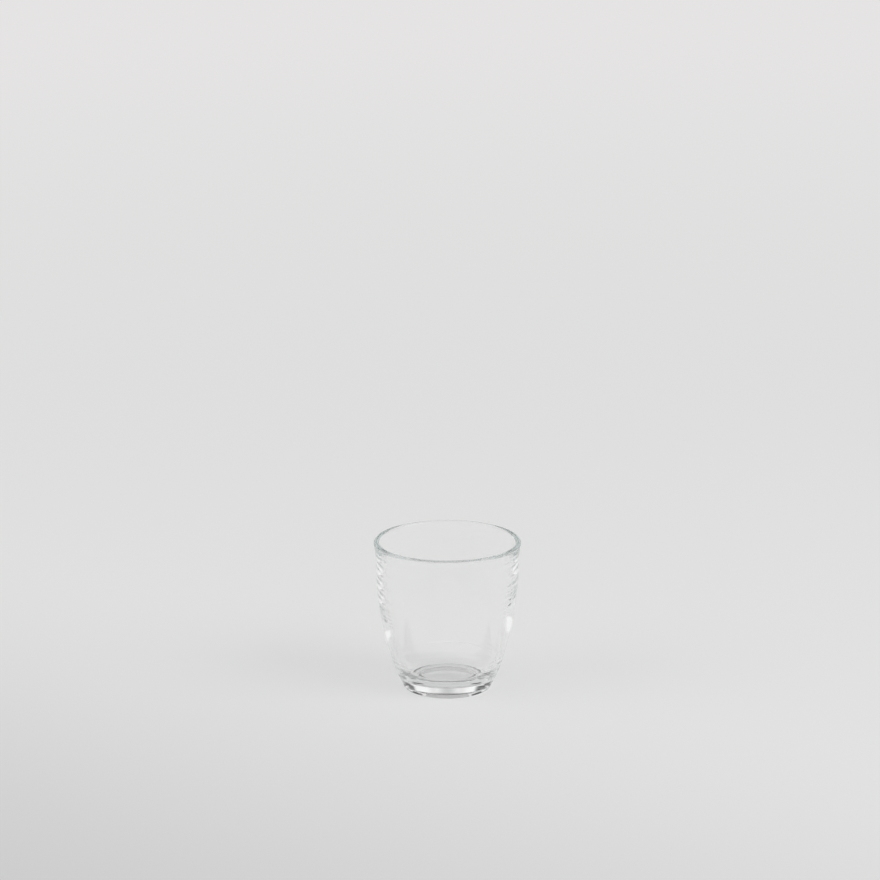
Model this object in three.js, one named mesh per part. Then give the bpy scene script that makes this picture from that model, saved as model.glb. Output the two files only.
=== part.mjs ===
// A clear pressed-glass tumbler: a barrel-curved bowl with a flared, rounded lip, on a tapered foot.
// Millimetres, +Z up. The origin is on the standing plane, on the axis of the glass.
// The real glass is one piece. It is divided here on one flat ring, a little above the heel.
import * as THREE from 'three';

// Heights, from the standing plane unless a line says otherwise
const HEIGHT = 78.5;
const NECK_DROP = 12.5; // from the top of the lip down to the neck, where the wall is upright
const RIDGE_HEIGHT = 7.3; // edge between the belly and the foot
const FLOOR_HEIGHT = 6.6; // inner floor
const DIVIDE_RISE = 1.5; // from the top of the heel, or the ridge, up to the ring where the solids meet

// Outside diameters
const LIP_DIAMETER = 76;
const NECK_DIAMETER = 73.8;
const RIDGE_DIAMETER = 52.4;
const FOOT_DIAMETER = 44.8; // on the standing plane, before its edge is rounded

// Thickness of the glass
const LIP_THICKNESS = 3;
const NECK_WALL = 3.4;
const HEEL_WALL = 3.8; // level with the inner floor, before the heel is rounded

// Heel: the curve between the flat floor and the inside of the wall
const HEEL_REACH = 5.3; // from the corner of floor and wall, inwards along the floor
const HEEL_RISE = 7.6; // from the floor, up the wall

// Roundings outside
const RIDGE_ROUNDING = 1.2;
const FOOT_ROUNDING = 0.9;

// Underside: a flat-topped hollow inside the ring that the glass stands on
const STANDING_RING = 5.8; // before its edges are rounded
const PUNT_DEPTH = 3.1;
const PUNT_SLOPE = 2; // how far the side of the hollow leans inwards
const PUNT_ROUNDING = 2; // where that side meets the top of the hollow
const RING_ROUNDING = 0.8; // where it meets the standing ring

// Steps of the facets
const TURN_STEPS = 60;
const BELLY_STEPS = 10;
const FLARE_STEPS = 4;
const LIP_STEPS = 8;
const HEEL_STEPS = 8;
const ROUNDING_STEPS = 4;

const point = (radius, height) => new THREE.Vector2(radius, height);

// Points on a circle from one angle to another, both ends included.
function arc(circle, from, to, steps) {
  const points = [];
  for (let step = 0; step <= steps; step += 1) {
    const angle = from + ((to - from) * step) / steps;
    points.push(pointAtAngle(circle, angle));
  }
  return points;
}

function pointAtAngle(circle, angle) {
  const { centre, radius } = circle;
  return point(centre.x + radius * Math.cos(angle), centre.y + radius * Math.sin(angle));
}

// The angle at which a circle's outer side passes a height.
function angleAtHeight(circle, height) {
  return Math.asin((height - circle.centre.y) / circle.radius);
}

// The circle through `low` that is upright at `high`: its centre is level with `high`.
function uprightCircle(low, high) {
  const inward = high.x - low.x;
  const drop = high.y - low.y;
  const radius = (inward ** 2 + drop ** 2) / (2 * inward);
  return { centre: point(high.x - radius, high.y), radius };
}

// The circle through `end` and `top` that faces outwards along `angle` at `top`.
function touchingCircle(top, angle, end) {
  const across = top.clone().sub(end);
  const outward = point(Math.cos(angle), Math.sin(angle));
  const radius = across.lengthSq() / (2 * across.dot(outward));
  return { centre: top.clone().addScaledVector(outward, -radius), radius };
}

// Points that round off a corner, from the side of `before` to the side of `after`.
function roundCorner(before, corner, after, radius) {
  const toBefore = before.clone().sub(corner).normalize();
  const toAfter = after.clone().sub(corner).normalize();
  const halfAngle = Math.acos(toBefore.dot(toAfter)) / 2;
  const setback = radius / Math.tan(halfAngle);
  const inside = toBefore.clone().add(toAfter).normalize();
  const centre = corner.clone().addScaledVector(inside, radius / Math.sin(halfAngle));
  const start = corner.clone().addScaledVector(toBefore, setback).sub(centre);
  const end = corner.clone().addScaledVector(toAfter, setback).sub(centre);
  const turn = Math.atan2(start.cross(end), start.dot(end));
  return arc({ centre, radius }, start.angle(), start.angle() + turn, ROUNDING_STEPS);
}

// Outside of the wall: one circle from the ridge to the neck.
const ridge = point(RIDGE_DIAMETER / 2, RIDGE_HEIGHT);
const neck = point(NECK_DIAMETER / 2, HEIGHT - NECK_DROP);
const outerWall = uprightCircle(ridge, neck);

// Inside of the wall: one circle from its corner with the floor to the neck.
const outerAtFloor = pointAtAngle(outerWall, angleAtHeight(outerWall, FLOOR_HEIGHT));
const innerCorner = point(outerAtFloor.x - HEEL_WALL, FLOOR_HEIGHT);
const innerNeck = point(neck.x - NECK_WALL, neck.y);
const innerWall = uprightCircle(innerCorner, innerNeck);

// Heel: the circle through the edge of the flat floor that touches the inside of the wall.
const floorEdge = point(innerCorner.x - HEEL_REACH, FLOOR_HEIGHT);
const heelTopAngle = angleAtHeight(innerWall, FLOOR_HEIGHT + HEEL_RISE);
const heelTop = pointAtAngle(innerWall, heelTopAngle);
const heel = touchingCircle(heelTop, heelTopAngle, floorEdge);
const heelFootAngle = Math.atan2(floorEdge.y - heel.centre.y, floorEdge.x - heel.centre.x);

// The flat ring on which the two solids meet.
const divideHeight = Math.max(heelTop.y, ridge.y) + DIVIDE_RISE;
const outerDivideAngle = angleAtHeight(outerWall, divideHeight);
const innerDivideAngle = angleAtHeight(innerWall, divideHeight);

// Lip: a full round, with a sweep on each side from the upright wall.
const lip = {
  centre: point((LIP_DIAMETER - LIP_THICKNESS) / 2, HEIGHT - LIP_THICKNESS / 2),
  radius: LIP_THICKNESS / 2,
};

function flare(wallTop, lipSide) {
  const bend = point(wallTop.x, (wallTop.y + lipSide.y) / 2);
  return new THREE.QuadraticBezierCurve(wallTop, bend, lipSide).getPoints(FLARE_STEPS);
}

function bowlWallOutline() {
  const outerBelly = arc(outerWall, outerDivideAngle, 0, BELLY_STEPS);
  const innerBelly = arc(innerWall, 0, innerDivideAngle, BELLY_STEPS);
  const lipRound = arc(lip, 0, Math.PI, LIP_STEPS);
  const outerFlare = flare(neck, lipRound.at(0));
  const innerFlare = flare(innerNeck, lipRound.at(-1)).reverse();
  return [
    ...outerBelly,
    ...outerFlare.slice(1),
    ...lipRound.slice(1),
    ...innerFlare.slice(1),
    ...innerBelly.slice(1),
    outerBelly[0],
  ];
}

function baseOutline() {
  const footCorner = point(FOOT_DIAMETER / 2, 0);
  const puntEdge = point(footCorner.x - STANDING_RING, 0);
  const puntCorner = point(puntEdge.x - PUNT_SLOPE, PUNT_DEPTH);
  const puntTop = point(0, PUNT_DEPTH);
  const puntRound = roundCorner(puntTop, puntCorner, puntEdge, PUNT_ROUNDING);
  const ringEdge = roundCorner(puntCorner, puntEdge, footCorner, RING_ROUNDING);
  const footEdge = roundCorner(puntEdge, footCorner, ridge, FOOT_ROUNDING);
  const outerDivide = pointAtAngle(outerWall, outerDivideAngle);
  const ridgeEdge = roundCorner(footCorner, ridge, outerDivide, RIDGE_ROUNDING);
  const innerDivide = pointAtAngle(innerWall, innerDivideAngle);
  const heelCurve = arc(heel, heelTopAngle, heelFootAngle, HEEL_STEPS);
  return [
    puntTop,
    ...puntRound,
    ...ringEdge,
    ...footEdge,
    ...ridgeEdge,
    outerDivide,
    innerDivide,
    ...heelCurve,
    point(0, FLOOR_HEIGHT),
  ];
}

const clearGlass = new THREE.MeshStandardMaterial({
  color: 0xe3eae7,
  roughness: 0.03,
  metalness: 0,
  transparent: true,
  opacity: 0.35,
});

// A solid of revolution about Z, from an outline of radius and height.
function turned(name, outline) {
  const geometry = new THREE.LatheGeometry(outline, TURN_STEPS);
  geometry.rotateX(Math.PI / 2);
  const mesh = new THREE.Mesh(geometry, clearGlass);
  mesh.name = name;
  return mesh;
}

const tumbler = new THREE.Group();
tumbler.add(turned('bowl_wall', bowlWallOutline()));
tumbler.add(turned('base', baseOutline()));

export default tumbler;
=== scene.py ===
import math

import bpy
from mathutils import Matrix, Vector


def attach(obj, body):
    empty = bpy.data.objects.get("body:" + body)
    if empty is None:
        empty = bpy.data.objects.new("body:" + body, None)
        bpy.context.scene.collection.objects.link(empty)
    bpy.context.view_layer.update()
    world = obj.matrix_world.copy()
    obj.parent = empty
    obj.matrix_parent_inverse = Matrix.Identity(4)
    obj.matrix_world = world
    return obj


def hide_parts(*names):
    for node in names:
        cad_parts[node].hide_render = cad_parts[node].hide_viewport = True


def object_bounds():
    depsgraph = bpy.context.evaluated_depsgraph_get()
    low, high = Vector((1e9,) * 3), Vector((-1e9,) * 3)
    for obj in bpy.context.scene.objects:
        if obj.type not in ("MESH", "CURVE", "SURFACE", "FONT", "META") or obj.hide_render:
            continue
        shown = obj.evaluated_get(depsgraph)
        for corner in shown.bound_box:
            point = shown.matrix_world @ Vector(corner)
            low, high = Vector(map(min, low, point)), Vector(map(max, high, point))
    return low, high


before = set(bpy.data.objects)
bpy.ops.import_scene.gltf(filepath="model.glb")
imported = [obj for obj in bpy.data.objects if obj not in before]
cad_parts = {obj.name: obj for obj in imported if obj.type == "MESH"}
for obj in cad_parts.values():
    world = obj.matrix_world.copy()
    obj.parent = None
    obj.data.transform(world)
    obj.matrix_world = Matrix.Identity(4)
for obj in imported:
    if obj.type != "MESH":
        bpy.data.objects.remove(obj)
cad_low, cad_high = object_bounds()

MM = 0.001

# Camera, as the photograph was taken
FRAME_PIXELS = 880
FRAME_CENTRE_PIXEL = FRAME_PIXELS / 2
FOOT_CENTRE_PIXEL = (447.3, 684.6)
PIXELS_PER_METRE = 1918.0
CAMERA_DISTANCE = 2.0
CAMERA_ELEVATION = math.radians(18.85)
SENSOR_WIDTH = 36.0

# Light that enters the lip runs far along inside the wall
LIGHT_BOUNCES = 200

# Outline of the glass. The lip's height and diameter are the frame's own.
HEIGHT = cad_high.z
LIP_RADIUS = cad_high.x
NECK_HEIGHT = HEIGHT - 12.5 * MM
NECK_RADIUS = 36.9 * MM
RIDGE_HEIGHT = 7.3 * MM
RIDGE_RADIUS = 26.2 * MM
FOOT_RADIUS = 22.4 * MM
FLOOR_HEIGHT = 6.6 * MM
FLOOR_RADIUS = 16.8 * MM
HEEL_RISE = 7.6 * MM
LIP_THICKNESS = 3.0 * MM
NECK_WALL = 3.4 * MM
HEEL_WALL = 3.8 * MM
RIDGE_ROUNDING = 1.2 * MM
FOOT_ROUNDING = 0.9 * MM
RING_ROUNDING = 0.8 * MM
PUNT_ROUNDING = 2.0 * MM
STANDING_RING = 5.8 * MM
PUNT_SLOPE = 2.0 * MM
PUNT_DEPTH = 3.1 * MM

# Rings inside the wall: side, top, bottom, length of a wave, slope, narrowness
LEFT = math.pi
RIGHT = 0.0
FAR_RIGHT = math.radians(65)
RING_FADE = 1.5 * MM
RING_SKEW = 0.5  # makes one flank of a ring steeper than the other
RINGS = (
    (LEFT, 70.5 * MM, 44 * MM, 7.5 * MM, 0.28, 24.0),
    (LEFT, 42.0 * MM, 34.5 * MM, 2.0 * MM, 0.22, 20.0),
    (LEFT, 17.0 * MM, 11 * MM, 2.4 * MM, 0.15, 14.0),
    (RIGHT, 70.5 * MM, 57 * MM, 7.0 * MM, 0.28, 24.0),
    (RIGHT, 58.0 * MM, 43 * MM, 2.9 * MM, 0.17, 14.0),
    (RIGHT, 17.0 * MM, 11 * MM, 2.6 * MM, 0.35, 14.0),
)

# A fine groove inside, where the wall ends, deepest on the far right
GROOVE_HEIGHT = 15.2 * MM
GROOVE_REACH = 0.35 * MM
GROOVE_STEPS = 12

# Swellings inside the wall (depth below 0) and the groove:
# side, height, reach up, reach down, depth, narrowness
BULGES = (
    (LEFT, 33.5 * MM, 12 * MM, 11 * MM, -0.9 * MM, 40.0),
    (RIGHT, 45 * MM, 16 * MM, 20 * MM, -1.35 * MM, 40.0),
    (FAR_RIGHT, GROOVE_HEIGHT, GROOVE_REACH, GROOVE_REACH, 0.28 * MM, 4.0),
)

# Rings and swellings fade out below the lip
LIP_FADE = (HEIGHT - 1.5 * MM, HEIGHT - 6.5 * MM)

# The glass: its refraction and tint, faint upright waves and a trace of haze in patches
REFRACTIVE_INDEX = 1.52
TINT = (0.30, 0.72, 0.66, 1)
TINT_DENSITY = 0.5
WAVE_SCALE = (140, 140, 14)
WAVE_DEPTH = 0.02 * MM
HAZE_SCALE = (60, 60, 60)
HAZE = 0.02

# Fineness of the mesh
TURN_STEPS = 192
OUTER_STEP = 0.5 * MM
WALL_STEP = 0.3 * MM
FLAT_STEP = 1.5 * MM
ROUNDING_TURN = math.radians(6)


def circle_point(circle, angle):
    """The point of a circle (centre, radius) at an angle, as radius and height."""
    centre, radius = circle
    return centre + Vector((math.cos(angle), math.sin(angle))) * radius


def arc(circle, start, end, steps):
    """Points along a circle, both ends included."""
    return [circle_point(circle, start + (end - start) * i / steps) for i in range(steps + 1)]


def wall_arc(circle, start, end, step):
    """An arc in short steps, for the long curves of the wall."""
    length = abs(end - start) * circle[1]
    return arc(circle, start, end, max(2, round(length / step)))


def rounding_arc(circle, start, end):
    """An arc in small turns, for the roundings."""
    return arc(circle, start, end, max(4, round(abs(end - start) / ROUNDING_TURN)))


def straight(start, end, step):
    """Points between two ends, the ends left out."""
    count = max(1, round((end - start).length / step))
    return [start.lerp(end, i / count) for i in range(1, count)]


def angle_at_height(circle, height):
    """The angle at which a circle's outer side passes a height."""
    centre, radius = circle
    return math.asin((height - centre.y) / radius)


def upright_circle(low, high):
    """The circle through low that is upright at high."""
    inward = high.x - low.x
    drop = high.y - low.y
    radius = (inward**2 + drop**2) / (2 * inward)
    return Vector((high.x - radius, high.y)), radius


def round_corner(before, corner, after, radius):
    """Points that round off a corner, from the side of before to the side of after."""
    to_before = (before - corner).normalized()
    to_after = (after - corner).normalized()
    half = math.acos(max(-1.0, min(1.0, to_before.dot(to_after)))) / 2
    setback = radius / math.tan(half)
    centre = corner + (to_before + to_after).normalized() * (radius / math.sin(half))
    start = corner + to_before * setback - centre
    end = corner + to_after * setback - centre
    start_angle = math.atan2(start.y, start.x)
    turn = math.atan2(start.x * end.y - start.y * end.x, start.dot(end))
    return rounding_arc((centre, radius), start_angle, start_angle + turn)


def flare(wall_top, lip_side, step):
    """The sweep between the upright wall and the side of the lip: a curve with one bend point."""
    bend = Vector((wall_top.x, (wall_top.y + lip_side.y) / 2))
    count = max(2, round((lip_side - wall_top).length / step))
    points = []
    for i in range(1, count):
        t = i / count
        points.append(wall_top * (1 - t) ** 2 + bend * (2 * t * (1 - t)) + lip_side * t**2)
    return points


def glass_outline():
    """Half section of the glass: its outside from the middle underneath, and its inside to the floor."""
    ridge = Vector((RIDGE_RADIUS, RIDGE_HEIGHT))
    neck = Vector((NECK_RADIUS, NECK_HEIGHT))
    outer_wall = upright_circle(ridge, neck)
    outer_at_floor = circle_point(outer_wall, angle_at_height(outer_wall, FLOOR_HEIGHT))
    inner_corner = Vector((outer_at_floor.x - HEEL_WALL, FLOOR_HEIGHT))
    inner_neck = Vector((NECK_RADIUS - NECK_WALL, NECK_HEIGHT))
    inner_wall = upright_circle(inner_corner, inner_neck)

    floor_edge = Vector((FLOOR_RADIUS, FLOOR_HEIGHT))
    heel_top_angle = angle_at_height(inner_wall, FLOOR_HEIGHT + HEEL_RISE)
    heel_top = circle_point(inner_wall, heel_top_angle)
    heel_across = heel_top - floor_edge
    wall_normal = Vector((math.cos(heel_top_angle), math.sin(heel_top_angle)))
    heel_radius = heel_across.length_squared / (2 * heel_across.dot(wall_normal))
    heel = (heel_top - wall_normal * heel_radius, heel_radius)
    from_heel = floor_edge - heel[0]
    heel_curve = rounding_arc(heel, heel_top_angle, math.atan2(from_heel.y, from_heel.x))

    groove_top = angle_at_height(inner_wall, GROOVE_HEIGHT + GROOVE_REACH)
    groove_end = angle_at_height(inner_wall, GROOVE_HEIGHT - GROOVE_REACH)

    foot_corner = Vector((FOOT_RADIUS, 0))
    punt_edge = Vector((FOOT_RADIUS - STANDING_RING, 0))
    punt_corner = Vector((punt_edge.x - PUNT_SLOPE, PUNT_DEPTH))
    punt_centre = Vector((0, PUNT_DEPTH))
    punt_round = round_corner(punt_centre, punt_corner, punt_edge, PUNT_ROUNDING)
    ring_inner = round_corner(punt_corner, punt_edge, foot_corner, RING_ROUNDING)

    foot_edge = round_corner(punt_edge, foot_corner, ridge, FOOT_ROUNDING)
    above_ridge = circle_point(outer_wall, angle_at_height(outer_wall, RIDGE_HEIGHT + MM))
    ridge_edge = round_corner(foot_corner, ridge, above_ridge, RIDGE_ROUNDING)
    belly_start = angle_at_height(outer_wall, ridge_edge[-1].y)

    lip_radius = LIP_THICKNESS / 2
    lip = (Vector((LIP_RADIUS - lip_radius, HEIGHT - lip_radius)), lip_radius)
    lip_round = rounding_arc(lip, 0, math.pi)
    floor_centre = Vector((0, FLOOR_HEIGHT))

    outside = [
        punt_centre,
        *straight(punt_centre, punt_round[0], FLAT_STEP),
        *punt_round,
        *straight(punt_round[-1], ring_inner[0], WALL_STEP),
        *ring_inner,
        *straight(ring_inner[-1], foot_edge[0], FLAT_STEP),
        *foot_edge,
        *straight(foot_edge[-1], ridge_edge[0], WALL_STEP),
        *ridge_edge,
        *wall_arc(outer_wall, belly_start, 0, OUTER_STEP)[1:],
        *flare(neck, lip_round[0], OUTER_STEP),
        *lip_round,
    ]
    inside = [
        *flare(inner_neck, lip_round[-1], WALL_STEP)[::-1],
        *wall_arc(inner_wall, 0, groove_top, WALL_STEP),
        *arc(inner_wall, groove_top, groove_end, GROOVE_STEPS)[1:],
        *wall_arc(inner_wall, groove_end, heel_top_angle, WALL_STEP)[1:],
        *heel_curve[1:],
        *straight(heel_curve[-1], floor_centre, FLAT_STEP),
        floor_centre,
    ]
    return outside, inside


def smooth(start, end, value):
    """A share that rises smoothly from 0 at start to 1 at end."""
    t = max(0.0, min(1.0, (value - start) / (end - start)))
    return t * t * (3 - 2 * t)


def near_side(turn, side, narrow):
    """A share that is 1 on one side of the glass and falls away round the turn."""
    return (0.5 + 0.5 * math.cos(turn - side)) ** narrow


def wave(height, turn, side, top, bottom, length, slope, narrow):
    """One family of rings inside the wall, strongest on one side: how far out they go."""
    fade_in = smooth(bottom - RING_FADE, bottom + RING_FADE, height)
    fade_out = smooth(top + 2 * RING_FADE, top, height)
    depth = slope * length / (2 * math.pi)
    phase = 2 * math.pi * (top - height) / length
    swing = math.sin(phase + RING_SKEW * math.sin(phase))
    return depth * swing * fade_in * fade_out * near_side(turn, side, narrow)


def bulge(height, turn, side, middle, reach_up, reach_down, depth, narrow):
    """One smooth hollow or swelling inside the wall: how far out it goes."""
    reach = reach_up if height > middle else reach_down
    away = min(1.0, abs(height - middle) / reach)
    return depth * (0.5 + 0.5 * math.cos(math.pi * away)) * near_side(turn, side, narrow)


def inner_swell(height, turn):
    """How far out the inside of the wall goes, for its shallow rings and uneven glass."""
    rings = sum(wave(height, turn, *family) for family in RINGS)
    bulges = sum(bulge(height, turn, *place) for place in BULGES)
    return (rings + bulges) * smooth(*LIP_FADE, height)


def turned_mesh(name, outside, inside):
    """A closed body of revolution from a half section whose two ends lie on the axis."""
    outline = outside + inside
    vertices = [(0.0, 0.0, outline[0].y)]
    rings = []
    for index, point in enumerate(outline[1:-1], start=1):
        rings.append(len(vertices))
        for step in range(TURN_STEPS):
            turn = 2 * math.pi * step / TURN_STEPS
            radius = point.x
            if index >= len(outside):
                radius += inner_swell(point.y, turn)
            vertices.append((radius * math.cos(turn), radius * math.sin(turn), point.y))
    last = len(vertices)
    vertices.append((0.0, 0.0, outline[-1].y))
    faces = []
    for step in range(TURN_STEPS):
        after = (step + 1) % TURN_STEPS
        faces.append((0, rings[0] + after, rings[0] + step))
        for low, high in zip(rings, rings[1:]):
            faces.append((low + step, low + after, high + after, high + step))
        faces.append((rings[-1] + step, rings[-1] + after, last))
    mesh = bpy.data.meshes.new(name)
    mesh.from_pydata(vertices, [], faces)
    mesh.shade_smooth()
    return mesh


def add_object(name, data):
    made = bpy.data.objects.new(name, data)
    bpy.context.scene.collection.objects.link(made)
    return made


def new_material(name):
    material = bpy.data.materials.new(name)
    material.use_nodes = True
    return material, material.node_tree.nodes, material.node_tree.links


def stretched_noise(tree, scale):
    """Noise in the object's own space, with a scale for each axis."""
    place = tree.nodes.new("ShaderNodeMapping")
    place.inputs["Scale"].default_value = scale
    tree.links.new(tree.nodes.new("ShaderNodeTexCoord").outputs["Object"], place.inputs["Vector"])
    noise = tree.nodes.new("ShaderNodeTexNoise")
    noise.inputs["Scale"].default_value = 1.0
    noise.inputs["Detail"].default_value = 1.0
    tree.links.new(place.outputs["Vector"], noise.inputs["Vector"])
    return noise.outputs["Fac"]


def glass_material():
    """Clear glass with faint upright waves, a trace of haze and a weak green tint."""
    material, nodes, links = new_material("clear_glass")
    tree = material.node_tree
    shader = nodes["Principled BSDF"]
    shader.inputs["Base Color"].default_value = (1, 1, 1, 1)
    haze = nodes.new("ShaderNodeMapRange")
    haze.inputs["To Max"].default_value = HAZE
    links.new(stretched_noise(tree, HAZE_SCALE), haze.inputs["Value"])
    links.new(haze.outputs["Result"], shader.inputs["Roughness"])
    waves = nodes.new("ShaderNodeBump")
    waves.inputs["Distance"].default_value = WAVE_DEPTH
    links.new(stretched_noise(tree, WAVE_SCALE), waves.inputs["Height"])
    links.new(waves.outputs["Normal"], shader.inputs["Normal"])
    shader.inputs["IOR"].default_value = REFRACTIVE_INDEX
    shader.inputs["Transmission Weight"].default_value = 1.0
    tint = nodes.new("ShaderNodeVolumeAbsorption")
    tint.inputs["Color"].default_value = TINT
    tint.inputs["Density"].default_value = TINT_DENSITY
    links.new(tint.outputs["Volume"], nodes["Material Output"].inputs["Volume"])
    return material


def make_glass():
    glass = add_object("tumbler", turned_mesh("tumbler", *glass_outline()))
    glass.data.materials.append(glass_material())
    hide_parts("bowl_wall", "base")
    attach(glass, "root")


# Studio floor: paper near the glass, which turns into the backdrop with the distance from the glass
PAPER = (0.86, 0.86, 0.86, 1)
BACKDROP_NEAR = (0.735, 0.735, 0.735, 1)
BACKDROP_FAR = (0.785, 0.772, 0.772, 1)
PAPER_FADE = (0.35, 0.9)
BACKDROP_SWEEP = (0.7, 2.2)
STAGE_REACH = 12.0
STAGE_GAP = 0.1 * MM  # between the floor and the foot

# Painted shade: the studio floor's colours are darker to the front left, near the glass
DIM_SIDE = (-0.55, -0.83, 0)
DIM_SPAN = (-0.05, 0.5)
DIM_REACH = (0.8, 0.45)
PAINTED_SHADE_SHARE = 0.24

# Room: the light that it throws on the floor, and the dark ceiling that shows in the glass
ROOM_LIGHT = (0.86, 0.86, 0.86, 1)
TOP_LIGHT = (0.64, 0.64, 0.64, 1)
CEILING = (0.10, 0.10, 0.10, 1)
CEILING_AXIS = (0.22, 0.28, 0.934)
CEILING_FADE = (0.56, 0.92)

# Bright panels and dark gaps that show in the glass, in degrees: azimuth, elevation, radius, level
PATCHES = (
    (180, 6, 10, 0.95),
    (150, 10, 12, 0.96),
    (210, 10, 12, 0.96),
    (180, 27, 9, 0.35),
    (104, 8, 12, 0.2),
    (104, 24, 12, 0.03),
    (254, 12, 12, 0.2),
    (256, 30, 12, 0.03),
    (124, 8, 12, 0.03),
    (124, 24, 12, 0.03),
    (234, 10, 12, 0.03),
    (215, 36, 12, 0.03),
    (236, 28, 12, 0.03),
)
PATCH_EDGE = 6

# Softboxes: name, azimuth, elevation, power, whether the glass mirrors it
SOFTBOXES = (
    ("softbox_right", 62, 34, 27, True),
    ("softbox_left", -70, 34, 14, False),
)
SOFTBOX_DISTANCE = 3.0
SOFTBOX_SIZE = (3.0, 2.4)
SOFTBOX_EDGE = (0.5, 0.25)  # dark and fully lit this far from its centre, as shares of its size


def smooth_step(tree, value, span):
    """A value that rises smoothly from 0 to 1 over a span of another."""
    step = tree.nodes.new("ShaderNodeMapRange")
    step.interpolation_type = "SMOOTHSTEP"
    step.inputs["From Min"].default_value = span[0]
    step.inputs["From Max"].default_value = span[1]
    tree.links.new(value, step.inputs["Value"])
    return step.outputs["Result"]


def along(tree, vector, direction):
    """How far a vector reaches in a direction."""
    reach = tree.nodes.new("ShaderNodeVectorMath")
    reach.operation = "DOT_PRODUCT"
    reach.inputs[1].default_value = direction
    tree.links.new(vector, reach.inputs[0])
    return reach.outputs["Value"]


def colour_mix(tree, share, start, end):
    """A colour between two others, each fixed or from another node."""
    mix = tree.nodes.new("ShaderNodeMix")
    mix.data_type = "RGBA"
    for socket, colour in (("A", start), ("B", end)):
        if isinstance(colour, bpy.types.NodeSocket):
            tree.links.new(colour, mix.inputs[socket])
        else:
            mix.inputs[socket].default_value = colour
    tree.links.new(share, mix.inputs["Factor"])
    return mix.outputs["Result"]


def calculate(tree, operation, first, second):
    """A number from two others, each fixed or from another node."""
    result = tree.nodes.new("ShaderNodeMath")
    result.operation = operation
    for socket, number in zip(result.inputs, (first, second)):
        if isinstance(number, bpy.types.NodeSocket):
            tree.links.new(number, socket)
        else:
            socket.default_value = number
    return result.outputs["Value"]


def glass_share(tree):
    """1 for what shows in the glass, and 0 for the light that falls on the floor."""
    path = tree.nodes.new("ShaderNodeLightPath").outputs
    in_glass = calculate(tree, "MAXIMUM", path["Is Glossy Ray"], path["Is Transmission Ray"])
    before_floor = calculate(tree, "LESS_THAN", path["Diffuse Depth"], 0.5)
    return calculate(tree, "MULTIPLY", in_glass, before_floor)


def toward(azimuth, elevation):
    """A direction in degrees. Azimuth 0 is on the camera's side and 90 on the right."""
    turn = math.radians(azimuth)
    rise = math.radians(elevation)
    return Vector((math.sin(turn) * math.cos(rise), -math.cos(turn) * math.cos(rise), math.sin(rise)))


def painted_shade_colour(colour):
    """A colour as it is where the floor's painted shade is deepest."""
    return tuple(c * (1 - PAINTED_SHADE_SHARE) for c in colour[:3]) + (1,)


def floor_material():
    """Matt pale paper with painted shade to the front left, that turns into the even backdrop farther
    out.
    """
    material, nodes, links = new_material("studio_floor")
    tree = material.node_tree
    position = nodes.new("ShaderNodeNewGeometry").outputs["Position"]
    shader = nodes["Principled BSDF"]
    shader.inputs["Roughness"].default_value = 1.0
    shader.inputs["Specular IOR Level"].default_value = 0.0
    measure = nodes.new("ShaderNodeVectorMath")
    measure.operation = "LENGTH"
    links.new(position, measure.inputs[0])
    distance = measure.outputs["Value"]
    # Painted shade: darkens both the paper's colour and the backdrop's glow to the front left
    to_the_side = smooth_step(tree, along(tree, position, DIM_SIDE), DIM_SPAN)
    painted_shade = calculate(tree, "MULTIPLY", to_the_side, smooth_step(tree, distance, DIM_REACH))
    links.new(colour_mix(tree, painted_shade, PAPER, painted_shade_colour(PAPER)), shader.inputs["Base Color"])
    near = colour_mix(tree, painted_shade, BACKDROP_NEAR, painted_shade_colour(BACKDROP_NEAR))
    backdrop = nodes.new("ShaderNodeEmission")
    sweep = smooth_step(tree, distance, BACKDROP_SWEEP)
    links.new(colour_mix(tree, sweep, near, BACKDROP_FAR), backdrop.inputs["Color"])
    mix = nodes.new("ShaderNodeMixShader")
    links.new(smooth_step(tree, distance, PAPER_FADE), mix.inputs["Fac"])
    links.new(shader.outputs["BSDF"], mix.inputs[1])
    links.new(backdrop.outputs["Emission"], mix.inputs[2])
    links.new(mix.outputs["Shader"], nodes["Material Output"].inputs["Surface"])
    return material


def make_floor():
    mesh = bpy.data.meshes.new("floor")
    signs = ((-1, -1), (1, -1), (1, 1), (-1, 1))
    corners = [(x * STAGE_REACH, y * STAGE_REACH, -STAGE_GAP) for x, y in signs]
    mesh.from_pydata(corners, [], [(0, 1, 2, 3)])
    floor = add_object("floor", mesh)
    floor.data.materials.append(floor_material())


def softbox(name, azimuth, elevation, power, shine):
    """A soft-edged area light that faces the glass."""
    light = bpy.data.lights.new(name, "AREA")
    light.shape = "RECTANGLE"
    light.size, light.size_y = SOFTBOX_SIZE
    light.energy = power
    light.use_nodes = True
    tree = light.node_tree
    across = tree.nodes.new("ShaderNodeNewGeometry").outputs["Parametric"]
    off_centre = tree.nodes.new("ShaderNodeVectorMath")
    off_centre.operation = "DISTANCE"
    off_centre.inputs[1].default_value = (0.5, 0.5, 0)
    tree.links.new(across, off_centre.inputs[0])
    glow = smooth_step(tree, off_centre.outputs["Value"], SOFTBOX_EDGE)
    tree.links.new(glow, tree.nodes["Emission"].inputs["Strength"])
    lamp = add_object(name, light)
    lamp.visible_glossy = shine
    lamp.visible_transmission = False
    away = toward(azimuth, elevation)
    lamp.location = Vector((0, 0, HEIGHT / 2)) + away * SOFTBOX_DISTANCE
    lamp.rotation_euler = away.to_track_quat("Z", "Y").to_euler()


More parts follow.
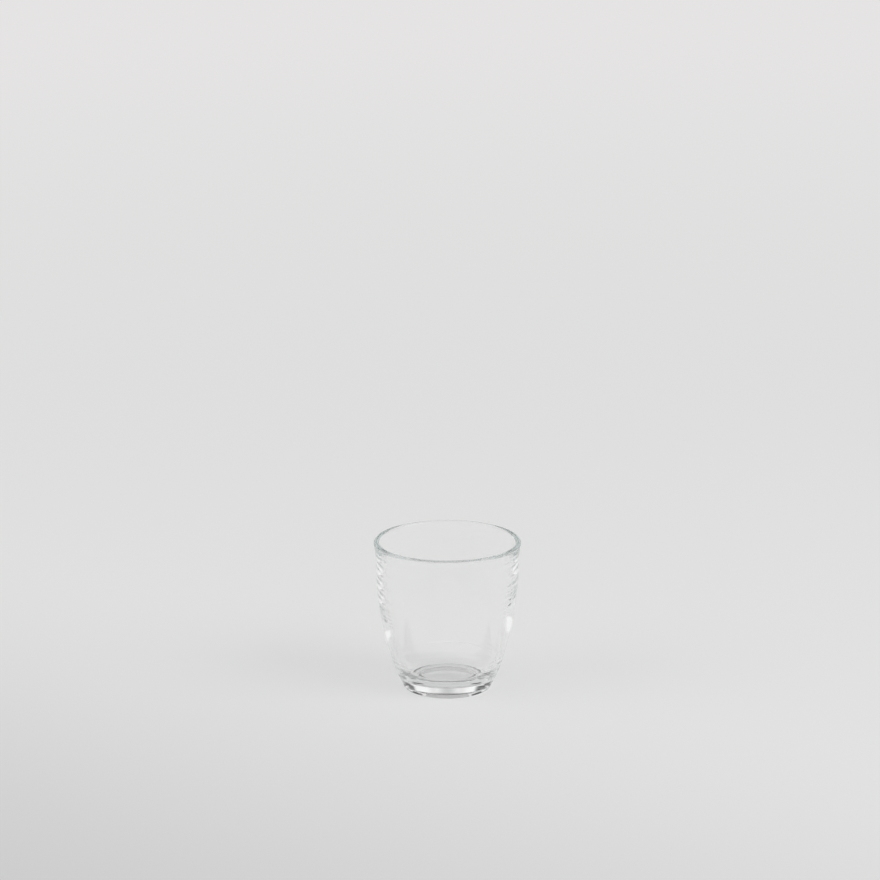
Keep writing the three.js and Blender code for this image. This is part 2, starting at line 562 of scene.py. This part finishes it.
def make_world():
    """A plain backdrop for the camera, an even room for the floor, panels and gaps for the glass."""
    world = bpy.data.worlds.new("studio")
    bpy.context.scene.world = world
    world.use_nodes = True
    tree = world.node_tree
    direction = tree.nodes.new("ShaderNodeTexCoord").outputs["Generated"]
    overhead = smooth_step(tree, along(tree, direction, CEILING_AXIS), CEILING_FADE)
    room = colour_mix(tree, overhead, BACKDROP_FAR, CEILING)
    for azimuth, elevation, radius, level in PATCHES:
        edge = (math.cos(math.radians(radius + PATCH_EDGE)), math.cos(math.radians(radius)))
        patch = smooth_step(tree, along(tree, direction, toward(azimuth, elevation)), edge)
        room = colour_mix(tree, patch, room, (level, level, level, 1))
    light = colour_mix(tree, overhead, ROOM_LIGHT, TOP_LIGHT)
    unseen = colour_mix(tree, glass_share(tree), light, room)
    to_camera = tree.nodes.new("ShaderNodeLightPath").outputs["Is Camera Ray"]
    shown = colour_mix(tree, to_camera, unseen, BACKDROP_FAR)
    tree.links.new(shown, tree.nodes["Background"].inputs["Color"])


def make_lights():
    for box in SOFTBOXES:
        softbox(*box)


def make_camera():
    """A long lens that looks down on the glass, with the foot's centre on its pixel."""
    focal_pixels = PIXELS_PER_METRE * CAMERA_DISTANCE
    right = (FOOT_CENTRE_PIXEL[0] - FRAME_CENTRE_PIXEL) / PIXELS_PER_METRE
    below = math.atan((FOOT_CENTRE_PIXEL[1] - FRAME_CENTRE_PIXEL) / focal_pixels)
    lens = bpy.data.cameras.new("camera")
    lens.sensor_width = SENSOR_WIDTH
    lens.lens = focal_pixels / FRAME_PIXELS * SENSOR_WIDTH
    camera = add_object("camera", lens)
    camera.location = (
        -right,
        -CAMERA_DISTANCE * math.cos(CAMERA_ELEVATION),
        CAMERA_DISTANCE * math.sin(CAMERA_ELEVATION),
    )
    camera.rotation_euler = (math.pi / 2 - (CAMERA_ELEVATION - below), 0, 0)
    bpy.context.scene.camera = camera


def set_view():
    scene = bpy.context.scene
    scene.view_settings.view_transform = "Standard"
    scene.cycles.max_bounces = LIGHT_BOUNCES
    scene.cycles.transmission_bounces = LIGHT_BOUNCES
    scene.cycles.glossy_bounces = LIGHT_BOUNCES
    scene.cycles.blur_glossy = 0


set_view()
make_camera()
make_glass()
make_floor()
make_lights()
make_world()
